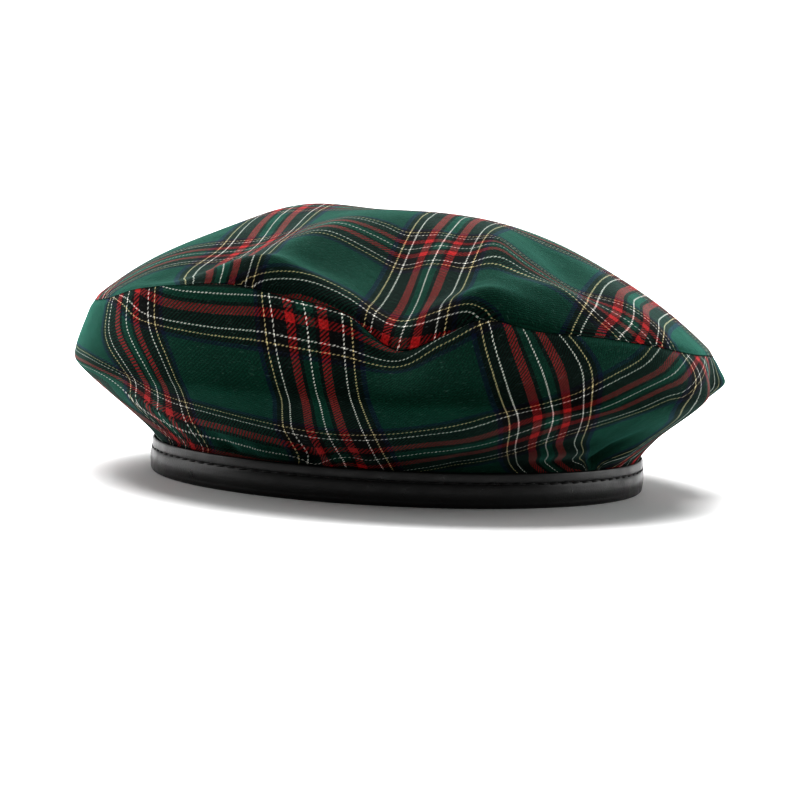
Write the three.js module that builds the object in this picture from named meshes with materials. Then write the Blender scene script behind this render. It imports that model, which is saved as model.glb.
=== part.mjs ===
import * as THREE from 'three';

// A tartan beret of the tam o shanter family: a wide puffed crown over a narrow leather headband.
// Millimetres, up is +Z, the front of the hat faces -Y and it rests on the foot of its headband.
// Three pieces: the round top panel, the side panel under it and the headband.

// Headband: an oval strip of leather folded up around the hem of the crown.
const BAND_WIDTH = 199;
const BAND_DEPTH = 176;
const BAND_HEIGHT = 13.4;
const LEATHER = 1.2;

// Crown: brushed cotton tartan, faced, so the wall is thicker than one layer of cloth.
const CLOTH = 1.4;
const CROWN_HEIGHT = 108.2;
const SEAM_RADIUS = 120;
const BULGE_RADIUS = 130;
const FOLD_DEPTH = 10;
const SOFTNESS = 10;

// Clearances: between the cloth and the leather, and across the seam between the two panels.
const SLACK = 0.3;

// The hem sits in the fold of the headband, this far above the surface the hat rests on.
const FOLD_THICKNESS = 3.6;
const HEM_HEIGHT = FOLD_THICKNESS + 2 * SLACK;
const MOUTH_HEIGHT = BAND_HEIGHT - 0.2;
const SLOT = CLOTH + 2 * SLACK;
const BAND_THICKNESS = 2 * LEATHER + SLOT;

// The crown overhangs the headband unevenly; the whole hat is moved by this to be centred.
const CENTRING = { right: 0.05, back: 0.57 };

// Steps round the hat. They are closer together at the front, where the folds are.
const STEPS = 88;
const FRONT_CROWDING = 0.28;

// The outline of the crown round the head. at: degrees, 0 right, 90 back, 180 left, 270 front.
// seamOut and bulgeOut are shares of the two radii, seamUp and bulgeUp shares of the crown
// height, lean the direction of the cloth at the bulge in degrees (90 is upright), rise and
// crease shares of the softness: how far the cloth stands up out of the headband, and how
// gently it turns over at the bulge.
const OUTLINE = [
  { at: 0, seamOut: 1.05, seamUp: 0.518, bulgeOut: 0.989, bulgeUp: 0.411, lean: 66, rise: 0.5, crease: 0.4 },
  { at: 12, seamOut: 1.038, seamUp: 0.531, bulgeOut: 0.985, bulgeUp: 0.407, lean: 66, rise: 0.5, crease: 0.45 },
  { at: 30, seamOut: 1.013, seamUp: 0.568, bulgeOut: 0.977, bulgeUp: 0.402, lean: 70, rise: 0.5, crease: 0.6 },
  { at: 60, seamOut: 0.988, seamUp: 0.61, bulgeOut: 0.969, bulgeUp: 0.397, lean: 74, rise: 0.5, crease: 0.7 },
  { at: 90, seamOut: 0.975, seamUp: 0.624, bulgeOut: 0.965, bulgeUp: 0.397, lean: 74, rise: 0.5, crease: 0.7 },
  { at: 120, seamOut: 0.992, seamUp: 0.61, bulgeOut: 0.977, bulgeUp: 0.397, lean: 74, rise: 0.5, crease: 0.7 },
  { at: 150, seamOut: 1.021, seamUp: 0.601, bulgeOut: 0.996, bulgeUp: 0.397, lean: 74, rise: 0.4, crease: 0.6 },
  { at: 180, seamOut: 1.042, seamUp: 0.617, bulgeOut: 1.009, bulgeUp: 0.407, lean: 72, rise: 0.4, crease: 0.5 },
  { at: 200, seamOut: 1.025, seamUp: 0.645, bulgeOut: 1.0, bulgeUp: 0.402, lean: 74, rise: 0.4, crease: 0.5 },
  { at: 212, seamOut: 0.996, seamUp: 0.695, bulgeOut: 0.992, bulgeUp: 0.397, lean: 76, rise: 0.4, crease: 0.6 },
  { at: 222, seamOut: 0.963, seamUp: 0.721, bulgeOut: 0.985, bulgeUp: 0.397, lean: 76, rise: 0.4, crease: 0.7 },
  { at: 234, seamOut: 0.921, seamUp: 0.736, bulgeOut: 0.981, bulgeUp: 0.397, lean: 76, rise: 0.4, crease: 0.7 },
  { at: 246, seamOut: 0.904, seamUp: 0.708, bulgeOut: 0.977, bulgeUp: 0.397, lean: 76, rise: 0.5, crease: 0.7 },
  { at: 259, seamOut: 0.917, seamUp: 0.666, bulgeOut: 0.977, bulgeUp: 0.393, lean: 76, rise: 0.5, crease: 0.7 },
  { at: 269, seamOut: 0.933, seamUp: 0.556, bulgeOut: 0.977, bulgeUp: 0.384, lean: 76, rise: 0.5, crease: 0.7 },
  { at: 277, seamOut: 0.925, seamUp: 0.606, bulgeOut: 0.977, bulgeUp: 0.388, lean: 76, rise: 0.5, crease: 0.7 },
  { at: 285, seamOut: 0.908, seamUp: 0.665, bulgeOut: 0.977, bulgeUp: 0.388, lean: 76, rise: 0.6, crease: 0.7 },
  { at: 296, seamOut: 0.921, seamUp: 0.632, bulgeOut: 0.977, bulgeUp: 0.384, lean: 76, rise: 0.8, crease: 0.7 },
  { at: 310, seamOut: 0.954, seamUp: 0.614, bulgeOut: 0.981, bulgeUp: 0.379, lean: 76, rise: 0.9, crease: 0.7 },
  { at: 322, seamOut: 0.99, seamUp: 0.586, bulgeOut: 0.981, bulgeUp: 0.379, lean: 76, rise: 0.8, crease: 0.7 },
  { at: 336, seamOut: 1.013, seamUp: 0.549, bulgeOut: 0.981, bulgeUp: 0.388, lean: 76, rise: 0.6, crease: 0.6 },
  { at: 348, seamOut: 1.025, seamUp: 0.531, bulgeOut: 0.973, bulgeUp: 0.407, lean: 76, rise: 0.5, crease: 0.45 },
];

// How full the top panel is towards each side: 2 is a round dome, 3 a flatter pillow.
const FULLNESS = [
  { at: 0, power: 2.3 },
  { at: 60, power: 2.1 },
  { at: 120, power: 2.3 },
  { at: 160, power: 2.6 },
  { at: 180, power: 2.8 },
  { at: 215, power: 2.5 },
  { at: 245, power: 2.1 },
  { at: 269, power: 1.95 },
  { at: 290, power: 1.95 },
  { at: 315, power: 2.2 },
  { at: 340, power: 2.3 },
];

// Soft folds and hollows of the side panel. width in degrees; up is the share of the way from
// hem to seam, spread its reach; out is a share of the fold depth, negative for a hollow.
const SIDE_FOLDS = [
  { name: 'pinch before the right end', at: 349, width: 6, up: 0.62, spread: 0.25, out: -0.35 },
  { name: 'lobe at the right end', at: 4, width: 9, up: 0.6, spread: 0.18, out: 0.3 },
  { name: 'hollow under the dip of the seam', at: 268, width: 6, up: 0.85, spread: 0.16, out: -0.15 },
];

// Ridges and hollows of the top panel. right, back, long and wide are shares of the seam
// radius, turn the direction of the long way in degrees, lift a share of the fold depth.
const TOP_FOLDS = [
  { name: 'front left ridge', right: -0.28, back: -0.52, long: 0.3, wide: 0.09, turn: 58, lift: 0.3 },
  { name: 'left of the ridge', right: -0.55, back: -0.38, long: 0.33, wide: 0.17, turn: 52, lift: -0.8 },
  { name: 'right of the ridge', right: -0.07, back: -0.58, long: 0.22, wide: 0.12, turn: 70, lift: -0.6 },
  { name: 'left of the puff', right: 0.17, back: -0.62, long: 0.17, wide: 0.07, turn: 90, lift: -0.35 },
  { name: 'crest of the puff', right: 0.28, back: -0.5, long: 0.2, wide: 0.07, turn: 90, lift: 0.4 },
  { name: 'behind the puff', right: 0.52, back: -0.38, long: 0.22, wide: 0.12, turn: -70, lift: -0.6 },
  { name: 'right swell', right: 0.75, back: -0.5, long: 0.2, wide: 0.12, turn: -35, lift: 0.4 },
  { name: 'peak', right: -0.36, back: 0.32, long: 0.3, wide: 0.2, turn: 30, lift: 0.65 },
  { name: 'foot of the ridge', right: -0.42, back: -0.74, long: 0.28, wide: 0.07, turn: -25, lift: 0.6 },
  { name: 'foot of the puff', right: 0.25, back: -0.83, long: 0.22, wide: 0.07, turn: 12, lift: 0.6 },
  { name: 'right side of the puff', right: 0.43, back: -0.68, long: 0.2, wide: 0.08, turn: 20, lift: 0.5 },
];

// Rows of the side panel as shares of the way from hem to seam, and rings of the top panel as
// shares of the way from its middle to the seam with the number of points as a share of STEPS.
const MOUTH_SHARE = 0.1;
const BULGE_SHARE = 0.62;
const SIDE_ROWS = [0, 0.1, 0.17, 0.24, 0.32, 0.4, 0.48, 0.55, 0.59, 0.62, 0.66, 0.72, 0.81, 0.91, 1];
const TOP_RINGS = [
  { out: 1, points: 1 },
  { out: 0.97, points: 1 },
  { out: 0.92, points: 1 },
  { out: 0.85, points: 1 },
  { out: 0.77, points: 1 },
  { out: 0.68, points: 1 },
  { out: 0.58, points: 0.5 },
  { out: 0.47, points: 0.5 },
  { out: 0.36, points: 0.5 },
  { out: 0.24, points: 0.5 },
  { out: 0.12, points: 0.25 },
];

// Section of the headband, walked from its foot up the outside, down into the slot and back
// down the inside. in: share of the band thickness inwards from the outer oval, up: share of
// the band height. A shallow groove for the stitching and a roll at the foot mark the outside.
const LEAF_IN = LEATHER / BAND_THICKNESS;
const SLOT_IN = (LEATHER + SLOT) / BAND_THICKNESS;
const BAND_SECTION = [
  { in: 0.22, up: 0 },
  { in: 0.06, up: 0.03 },
  { in: 0, up: 0.1 },
  { in: 0.03, up: 0.19 },
  { in: -0.02, up: 0.28 },
  { in: -0.04, up: 0.45 },
  { in: 0, up: 0.66 },
  { in: 0.03, up: 0.72 },
  { in: 0, up: 0.78 },
  { in: 0.02, up: 0.95 },
  { in: 0.1, up: 1 },
  { in: LEAF_IN - 0.06, up: 1 },
  { in: LEAF_IN, up: 0.96 },
  { in: LEAF_IN, up: FOLD_THICKNESS / BAND_HEIGHT },
  { in: SLOT_IN, up: FOLD_THICKNESS / BAND_HEIGHT },
  { in: SLOT_IN, up: 0.93 },
  { in: SLOT_IN + 0.08, up: 0.97 },
  { in: 1, up: 0.92 },
  { in: 1, up: 0.08 },
  { in: 0.86, up: 0 },
];

const radians = (degrees) => (degrees * Math.PI) / 180;
const clamp = (value) => Math.min(1, Math.max(0, value));

// The direction in degrees of each step round the hat; 270 is the front.
function stepDirection(step, count) {
  const turn = (2 * Math.PI * step) / count;
  return 270 + (360 * step) / count - (FRONT_CROWDING * 180 * Math.sin(turn)) / Math.PI;
}

// A smooth closed curve through one column of a table, by the direction in degrees.
function around(table, column, degrees) {
  const count = table.length;
  const wanted = ((degrees % 360) + 360) % 360;
  const row = (index) => {
    const wrapped = ((index % count) + count) % count;
    return { at: table[wrapped].at + 360 * Math.floor(index / count), value: table[wrapped][column] };
  };
  const slope = (index) => {
    const before = row(index - 1);
    const after = row(index + 1);
    return (after.value - before.value) / (after.at - before.at);
  };
  let index = count - 1;
  while (table[index].at > wanted) {
    index -= 1;
  }
  const start = row(index);
  const end = row(index + 1);
  const width = end.at - start.at;
  const t = (wanted - start.at) / width;
  const a = 2 * t ** 3 - 3 * t ** 2 + 1;
  const b = t ** 3 - 2 * t ** 2 + t;
  const c = -2 * t ** 3 + 3 * t ** 2;
  const d = t ** 3 - t ** 2;
  return a * start.value + b * width * slope(index) + c * end.value + d * width * slope(index + 1);
}

// A point on the oval of the headband, a distance inwards from its outer face.
function oval(degrees, inwards, height) {
  const a = BAND_WIDTH / 2;
  const b = BAND_DEPTH / 2;
  const cos = Math.cos(radians(degrees));
  const sin = Math.sin(radians(degrees));
  const radius = (a * b) / Math.hypot(b * cos, a * sin);
  const normal = new THREE.Vector3((radius * cos) / a ** 2, (radius * sin) / b ** 2, 0).normalize();
  return new THREE.Vector3(radius * cos, radius * sin, height).addScaledVector(normal, -inwards);
}

// A point at a direction, a distance out from the middle and a height.
function polar(degrees, out, height) {
  return new THREE.Vector3(out * Math.cos(radians(degrees)), out * Math.sin(radians(degrees)), height);
}

// The height of one bell-shaped fold, 1 at its middle.
const bell = (along, across) => Math.exp(-(along ** 2) - across ** 2);

// The outer face of the side panel: upright out of the headband, out to the bulge, in to the seam.
function sidePoint(degrees, share) {
  const seam = polar(
    degrees,
    SEAM_RADIUS * around(OUTLINE, 'seamOut', degrees),
    CROWN_HEIGHT * around(OUTLINE, 'seamUp', degrees),
  );
  const bulge = polar(
    degrees,
    BULGE_RADIUS * around(OUTLINE, 'bulgeOut', degrees),
    CROWN_HEIGHT * around(OUTLINE, 'bulgeUp', degrees),
  );
  const mouth = oval(degrees, LEATHER + SLACK, MOUTH_HEIGHT);
  if (share <= MOUTH_SHARE) {
    return oval(degrees, LEATHER + SLACK, HEM_HEIGHT + ((MOUTH_HEIGHT - HEM_HEIGHT) * share) / MOUTH_SHARE);
  }
  const lean = radians(around(OUTLINE, 'lean', degrees));
  const crease = SOFTNESS * around(OUTLINE, 'crease', degrees);
  const turnOver = polar(degrees, Math.cos(lean), Math.sin(lean));
  const point = new THREE.Vector3();
  if (share <= BULGE_SHARE) {
    const upright = mouth.clone();
    upright.z += SOFTNESS * around(OUTLINE, 'rise', degrees);
    const under = bulge.clone().addScaledVector(turnOver, -crease);
    const curve = new THREE.CubicBezierCurve3(mouth, upright, under, bulge);
    curve.getPoint((share - MOUTH_SHARE) / (BULGE_SHARE - MOUTH_SHARE), point);
  } else {
    const over = bulge.clone().addScaledVector(turnOver, 0.9 * crease);
    const below = seam.clone().lerp(bulge, 0.33);
    const curve = new THREE.CubicBezierCurve3(bulge, over, below, seam);
    curve.getPoint((share - BULGE_SHARE) / (1 - BULGE_SHARE), point);
  }
  let out = 0;
  for (const fold of SIDE_FOLDS) {
    const away = ((((degrees - fold.at + 180) % 360) + 360) % 360) - 180;
    out += fold.out * bell(away / fold.width, (share - fold.up) / fold.spread);
  }
  const free = clamp((share - MOUTH_SHARE - 0.04) / 0.2) * clamp((1 - share) / 0.12);
  const hold = free * free * (3 - 2 * free);
  return point.add(polar(degrees, FOLD_DEPTH * out * hold, 0));
}

// The outer face of the top panel: a dome from the seam up to the crown, with its folds on it.
function topPoint(degrees, share) {
  const seamUp = CROWN_HEIGHT * around(OUTLINE, 'seamUp', degrees);
  const power = around(FULLNESS, 'power', degrees);
  const point = polar(degrees, SEAM_RADIUS * around(OUTLINE, 'seamOut', degrees) * share, seamUp);
  point.z += (CROWN_HEIGHT - seamUp) * (1 - share ** power);
  let lift = 0;
  for (const fold of TOP_FOLDS) {
    const x = point.x / SEAM_RADIUS - fold.right;
    const y = point.y / SEAM_RADIUS - fold.back;
    const cos = Math.cos(radians(fold.turn));
    const sin = Math.sin(radians(fold.turn));
    lift += fold.lift * bell((x * cos + y * sin) / fold.long, (y * cos - x * sin) / fold.wide);
  }
  const free = clamp((1 - share) / 0.08);
  point.z += FOLD_DEPTH * lift * free * (2 - free);
  return point;
}

// The outward direction of a panel at a point, from the points beside it and as far as reach.
function facing(panel, degrees, share, reach) {
  const low = Math.max(0.001, share - reach);
  const high = Math.min(1, share + reach);
  const along = panel(degrees + 0.4, share).sub(panel(degrees - 0.4, share));
  const up = panel(degrees, high).sub(panel(degrees, low));
  return along.cross(up).normalize();
}
const sideFacing = (degrees, share, reach = 0.01) => facing(sidePoint, degrees, share, reach);
const topFacing = (degrees, share, reach = 0.01) => facing(topPoint, degrees, share, reach).negate();

// The mitred edge both panels share at the seam: half a gap back, then the cloth's thickness in.
function seamEdge(degrees, sign) {
  const seam = sidePoint(degrees, 1);
  const up = seam.clone().sub(sidePoint(degrees, 0.94)).normalize();
  const over = topPoint(degrees, 0.97).sub(seam).normalize();
  const round = topPoint(degrees + 0.4, 1).sub(topPoint(degrees - 0.4, 1)).normalize();
  const across = up.add(over);
  across.addScaledVector(round, -across.dot(round)).normalize();
  const outward = round.clone().cross(across);
  const slant = outward.dot(sideFacing(degrees, 1, 0.06));
  const outer = seam.clone().addScaledVector(across, (sign * SLACK) / 2);
  const inner = outer.clone().addScaledVector(outward, -CLOTH / slant);
  return { outer, inner };
}

// Rings of points round the hat.
function ring(points, place) {
  const count = Math.round(STEPS * points);
  return Array.from({ length: count }, (_, step) => place(stepDirection(step, count)));
}

// Closes rings of points into one solid. Neighbouring rings have as many points, or twice as
// many, or are a single point; the last ring joins the first unless the ends are points.
function closedSolid(rings) {
  const starts = [];
  const positions = [];
  for (const points of rings) {
    starts.push(positions.length / 3);
    for (const point of points) {
      positions.push(point.x + CENTRING.right, point.y + CENTRING.back, point.z);
    }
  }
  const faces = [];
  const links = rings[0].length === 1 ? rings.length - 1 : rings.length;
  for (let link = 0; link < links; link += 1) {
    const next = (link + 1) % rings.length;
    const [near, far] = [rings[link].length, rings[next].length];
    const most = Math.max(near, far);
    for (let step = 0; step < most; step += 1) {
      const onRing = (start, count, index) => start + (Math.floor((index * count) / most) % count);
      const a = onRing(starts[link], near, step);
      const b = onRing(starts[link], near, step + 1);
      const c = onRing(starts[next], far, step + 1);
      const d = onRing(starts[next], far, step);
      if (a !== b) {
        faces.push(a, b, d);
      }
      if (c !== d) {
        faces.push(b, c, d);
      }
    }
  }
  const geometry = new THREE.BufferGeometry();
  geometry.setAttribute('position', new THREE.Float32BufferAttribute(positions, 3));
  geometry.setIndex(faces);
  geometry.computeVertexNormals();
  return geometry;
}

// The side panel: outer rows from hem to seam, then the inner rows back down.
function sidePanel() {
  const outer = SIDE_ROWS.slice(0, -1).map((share) => ring(1, (degrees) => sidePoint(degrees, share)));
  const inner = SIDE_ROWS.slice(0, -1).map((share) =>
    ring(1, (degrees) => sidePoint(degrees, share).addScaledVector(sideFacing(degrees, share), -CLOTH)),
  );
  const edge = (part) => ring(1, (degrees) => seamEdge(degrees, -1)[part]);
  return closedSolid([...outer, edge('outer'), edge('inner'), ...inner.reverse()]);
}

// The top panel: outer rings from its middle out to the seam, then the inner rings back.
function topPanel() {
  const skin = (depth, part) => {
    const place = (share) => (degrees) =>
      topPoint(degrees, share).addScaledVector(topFacing(degrees, share), -depth);
    const rings = TOP_RINGS.slice(1).map((row) => ring(row.points, place(row.out)));
    const middle = [new THREE.Vector3(0, 0, topPoint(270, 0).z - depth)];
    return [ring(1, (degrees) => seamEdge(degrees, 1)[part]), ...rings, middle];
  };
  return closedSolid([...skin(0, 'outer').reverse(), ...skin(CLOTH, 'inner')].reverse());
}

// The headband: its section carried round the oval.
function headband() {
  const rings = BAND_SECTION.map((point) =>
    ring(1, (degrees) => oval(degrees, BAND_THICKNESS * point.in, BAND_HEIGHT * point.up)),
  );
  return closedSolid(rings);
}

function piece(name, geometry, colour, roughness) {
  const mesh = new THREE.Mesh(geometry, new THREE.MeshStandardMaterial({ color: colour, roughness }));
  mesh.name = name;
  return mesh;
}

const hat = new THREE.Group();
hat.name = 'tam_o_shanter';
hat.add(piece('crown_top', topPanel(), 0x1f6b52, 0.9));
hat.add(piece('crown_side', sidePanel(), 0x7a1f1f, 0.9));
hat.add(piece('headband', headband(), 0x161616, 0.35));

export default hat;
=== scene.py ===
"""A tartan tam o shanter: a puffed crown of brushed cotton over a narrow black leather headband.

Metres, up is +Z, the front of the hat faces -Y and it rests on the foot of its headband.
Every panel is a surface worked out from two parameters, so each function says its formula in words.
"""

import math

import bpy
import numpy as np
from mathutils import Matrix, Vector


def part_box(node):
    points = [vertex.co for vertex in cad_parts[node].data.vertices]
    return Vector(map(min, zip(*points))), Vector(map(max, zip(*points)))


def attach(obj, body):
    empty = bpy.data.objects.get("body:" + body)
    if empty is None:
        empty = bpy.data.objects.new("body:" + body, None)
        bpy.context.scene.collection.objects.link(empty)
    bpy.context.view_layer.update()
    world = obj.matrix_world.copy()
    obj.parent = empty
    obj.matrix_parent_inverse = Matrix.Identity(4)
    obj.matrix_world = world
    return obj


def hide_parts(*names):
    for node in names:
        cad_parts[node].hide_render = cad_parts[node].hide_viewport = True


bl_info = {
    "name": "Tartan Tam O Shanter",
    "version": (1, 0, 0),
    "blender": (4, 5, 0),
    "location": "View3D > Sidebar > Hat",
    "description": "Builds a tartan beret with a leather headband, and a plain studio for it",
    "category": "Add Mesh",
}

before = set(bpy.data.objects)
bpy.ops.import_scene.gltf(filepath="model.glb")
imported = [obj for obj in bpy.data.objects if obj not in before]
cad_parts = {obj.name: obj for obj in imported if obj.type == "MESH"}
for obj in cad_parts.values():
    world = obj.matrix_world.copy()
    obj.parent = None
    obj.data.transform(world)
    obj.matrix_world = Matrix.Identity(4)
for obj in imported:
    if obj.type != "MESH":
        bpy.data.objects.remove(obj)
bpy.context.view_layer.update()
BAND_LOW, BAND_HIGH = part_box("headband")
MIDDLE = (np.array(BAND_LOW) + np.array(BAND_HIGH)) / 2 * (1, 1, 0)
MM = 0.001

# Shares of the way from the hem to the seam at which the cloth leaves the headband and at which
# it bulges furthest out.
MOUTH_SHARE = 0.1
BULGE_SHARE = 0.62

# Folds fade over this share of the way at both edges of the side panel, and of the top panel.
SIDE_FADE = 0.12
TOP_FADE = 0.08

# Steps round the hat in each mesh, and how much closer together they are at the front.
SIDE_STEPS = 640
TOP_STEPS = 560
BAND_STEPS = 720
FRONT_CROWDING = 0.28

# The turn of the top panel's threads, and how far right of the middle and behind it the middle of
# one white line of each set lies.
GRAIN = math.radians(12.0)
TOP_WHITE_ACROSS = 0.025
TOP_WHITE_ALONG = -0.053

# How much of a thread's colour is lost where it lies beside darker threads of the other set.
SHADED_BY_NEIGHBOURS = 0.42

# The groove that the stitches lie in: shares of the headband's thickness and height.
GROOVE_IN = 0.085
GROOVE_UP = 0.7

# Rows close together where a panel rolls in at the seam, as shares of the way to it.
SEAM_ROWS = (0.97, 0.978, 0.984, 0.989, 0.993, 0.997)


def table(columns, *rows):
    """Named columns from rows of numbers."""
    return dict(zip(columns.split(), np.array(rows, float).T))


# The seam between the two panels. at: degrees, 0 right, 90 back, 180 left, 270 front; out and up
# are shares of the seam radius and the crown height.
SEAM = table(
    "at out up",
    (0, 1.05, 0.518),
    (12, 1.038, 0.531),
    (30, 1.013, 0.568),
    (60, 0.988, 0.61),
    (90, 0.975, 0.624),
    (120, 0.992, 0.61),
    (150, 1.021, 0.601),
    (180, 1.042, 0.617),
    (200, 1.025, 0.645),
    (212, 0.996, 0.695),
    (222, 0.963, 0.721),
    (234, 0.921, 0.736),
    (246, 0.904, 0.708),
    (259, 0.917, 0.666),
    (269, 0.933, 0.556),
    (277, 0.925, 0.606),
    (285, 0.908, 0.665),
    (296, 0.921, 0.632),
    (310, 0.954, 0.614),
    (322, 0.99, 0.586),
    (336, 1.013, 0.549),
    (348, 1.025, 0.531),
)

# The bulge of the side panel. out and up are shares of the bulge radius and the crown height, lean
# is the direction of the cloth there in degrees (90 is upright), rise and crease are shares of the
# softness: how far the cloth stands up out of the headband, and how gently it turns over.
BULGE = table(
    "at out up lean rise crease",
    (0, 0.989, 0.411, 66, 0.5, 0.4),
    (12, 0.985, 0.407, 66, 0.5, 0.45),
    (30, 0.977, 0.402, 70, 0.5, 0.6),
    (60, 0.969, 0.397, 74, 0.5, 0.7),
    (90, 0.965, 0.397, 74, 0.5, 0.7),
    (120, 0.977, 0.397, 74, 0.5, 0.7),
    (150, 0.996, 0.397, 74, 0.4, 0.6),
    (180, 1.009, 0.407, 72, 0.4, 0.5),
    (200, 1.0, 0.402, 74, 0.4, 0.5),
    (212, 0.992, 0.397, 76, 0.4, 0.6),
    (222, 0.985, 0.397, 76, 0.4, 0.7),
    (234, 0.981, 0.397, 76, 0.4, 0.7),
    (246, 0.977, 0.397, 76, 0.5, 0.7),
    (259, 0.977, 0.393, 76, 0.5, 0.7),
    (269, 0.977, 0.384, 76, 0.5, 0.7),
    (277, 0.977, 0.388, 76, 0.5, 0.7),
    (285, 0.977, 0.388, 76, 0.6, 0.7),
    (296, 0.977, 0.384, 76, 0.8, 0.7),
    (310, 0.981, 0.379, 76, 0.9, 0.7),
    (322, 0.981, 0.379, 76, 0.8, 0.7),
    (336, 0.981, 0.388, 76, 0.6, 0.6),
    (348, 0.973, 0.407, 76, 0.5, 0.45),
)

# How full the top panel is towards each side: 2 is a round dome, 3 a flatter pillow.
FULLNESS = table(
    "at power",
    (0, 2.3),
    (60, 2.1),
    (120, 2.3),
    (160, 2.6),
    (180, 2.8),
    (215, 2.5),
    (245, 2.1),
    (269, 1.95),
    (290, 1.95),
    (315, 2.2),
    (340, 2.3),
)

# Soft folds and hollows of the side panel. width in degrees; up is the share of the way from hem
# to seam, spread its reach; out is a share of the fold depth, negative for a hollow.
SIDE_FOLDS = table(
    "at width up spread out",
    (349, 6, 0.62, 0.25, -0.35),
    (4, 9, 0.6, 0.18, 0.3),
    (268, 6, 0.85, 0.16, -0.15),
    (228, 2.5, 0.2, 0.09, -0.25),
    (238, 3, 0.2, 0.1, 0.15),
    (249, 2.5, 0.21, 0.1, -0.3),
    (254, 2, 0.2, 0.1, 0.2),
    (259, 2, 0.18, 0.09, -0.25),
    (264, 2.2, 0.2, 0.1, 0.2),
    (269, 2, 0.18, 0.09, -0.2),
    (284, 3, 0.2, 0.1, -0.2),
    (308, 9, 0.26, 0.05, 0.3),
    (310, 8, 0.17, 0.04, -0.25),
    (322, 2, 0.24, 0.12, -0.45),
    (330, 4, 0.22, 0.12, 0.25),
)

# Ridges and hollows of the top panel. right, back, long and wide are shares of the seam radius,
# turn is the direction of the long way in degrees, lift a share of the fold depth.
TOP_FOLDS = table(
    "right back long wide turn lift",
    (-0.28, -0.52, 0.3, 0.09, 58, 0.3),
    (-0.55, -0.38, 0.33, 0.17, 52, -0.8),
    (-0.07, -0.58, 0.22, 0.12, 70, -0.6),
    (0.17, -0.62, 0.17, 0.07, 90, -0.35),
    (0.28, -0.5, 0.2, 0.07, 90, 0.4),
    (0.52, -0.38, 0.22, 0.12, -70, -0.6),
    (0.75, -0.5, 0.2, 0.12, -35, 0.25),
    (-0.36, 0.32, 0.3, 0.2, 30, 0.65),
    (-0.62, -0.05, 0.25, 0.2, 60, -0.25),
    (0.68, -0.1, 0.2, 0.2, -60, -0.2),
    (-0.42, -0.74, 0.28, 0.07, -25, 0.6),
    (0.25, -0.83, 0.22, 0.07, 12, 0.6),
    (0.43, -0.68, 0.2, 0.08, 20, 0.5),
)

# Where the top panel's cloth lies askew: right, back, long, wide and turn as in the folds; across
# and along are how far the cloth has slipped along its two sets of threads, in millimetres.
TOP_SLIPS = table(
    "right back long wide turn across along",
    (0.25, -0.86, 0.2, 0.14, 0, 0, -11),
    (-0.3, -0.78, 0.3, 0.14, 0, 0, -8),
    (0.38, -0.56, 0.2, 0.07, -20, 0, -8),
    (0.05, 0.1, 0.6, 0.3, 0, 0, 17),
    (0.36, -0.1, 0.22, 0.2, 0, 0, 7),
    (0.48, -0.4, 0.2, 0.1, -10, 0, 8),
    (0.75, -0.6, 0.15, 0.15, 0, -5, 0),
    (-0.72, -0.45, 0.25, 0.15, 0, 8, -5),
)

# Where the side panel's cloth was cut, in millimetres: across counts the stripes that run up the
# hat and along those that run round it, both from the white lines in the middle of the front. The
# columns are places on the way from the headband to the seam. A tuck at the headband, right of
# the front, takes in half a green field. From 360 on the rows go round the back, where the stripes
# run evenly until they meet the first row, nine repeats on.
CUT_PLACES = {"band": 0.1, "low": 0.35, "middle": 0.6, "high": 0.85, "seam": 1.0}
CUT_ACROSS = table(
    "at band low middle high seam",
    (180, -146, -150, -152, -150, -148),
    (190, -114, -122, -130, -123, -116),
    (200, -96, -104, -119, -103, -96),
    (208, -80, -89, -107, -86, -79),
    (216, -66, -74, -95, -71, -63),
    (224, -52, -62, -78, -56, -48),
    (234, -35, -44, -53, -38, -30),
    (245, -16, -19, -28, -16, -8),
    (260, 3, 6, 7, 12, 15),
    (275, 23, 30, 38, 41.5, 44),
    (285, 38, 48, 57, 61, 62),
    (295, 53, 66, 75, 77, 79),
    (305, 67, 84, 96, 92, 95),
    (315, 80, 102, 117, 110, 111),
    (321, 89, 117, 130, 120, 120),
    (324.5, 137, 126, 135, 125, 126),
    (334, 146, 140, 142.5, 138, 140),
    (343, 157, 152, 152, 150.5, 153),
    (352, 168, 164.5, 163, 164, 166),
    (360, 178, 177, 176, 178, 180),
    (405, 268, 267, 266, 268, 270),
    (450, 358, 357, 356, 357, 359),
    (495, 448, 446, 444, 446, 448),
    (540, 538, 534, 532, 534, 536),
)
CUT_ALONG = table(
    "at band low middle high seam",
    (180, -16, -8, 1, 30, 47),
    (200, -11, -4, 0, 37, 57),
    (208, -9, -1, 2, 47, 65),
    (216, -7, 2, 9, 56, 72),
    (224, -6, 4, 22, 60, 77),
    (234, -5, 6, 29, 62, 78),
    (245, -4, 10.5, 35, 61, 75),
    (250, -1, 12.5, 36, 61.5, 75.3),
    (257, -9, 13.3, 37, 61.6, 75),
    (264, -8, 12, 36, 60.2, 72.8),
    (275, -15, 7, 30, 53, 63.5),
    (285, -24, 3, 19, 47, 61),
    (295, -28, -7, 8, 36, 51),
    (305, -36, -20, -3, 23, 38),
    (315, -45, -31, -16, 12, 25),
    (321, -51, -37, -22, 5.5, 16),
    (327, -56, -42, -23, -1, 9),
    (340, -67, -53, -36, -15, -4),
    (360, -82, -67, -51, -32, -21),
    (405, -66, -52, -38, -17, -4),
    (450, -49, -38, -25, -1, 13),
    (495, -33, -23, -12, 15, 30),
    (540, -16, -8, 1, 30, 47),
)

# The stripes of the tartan, from the middle of one white line outwards as shares of half a repeat.
STRIPES = (
    (0, "white"),
    (0.0078, "green"),
    (0.068, "black"),
    (0.103, "red"),
    (0.184, "black"),
    (0.305, "white"),
    (0.324, "black"),
    (0.387, "yellow"),
    (0.406, "black"),
    (0.452, "navy"),
    (0.5, "green"),
)

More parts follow.
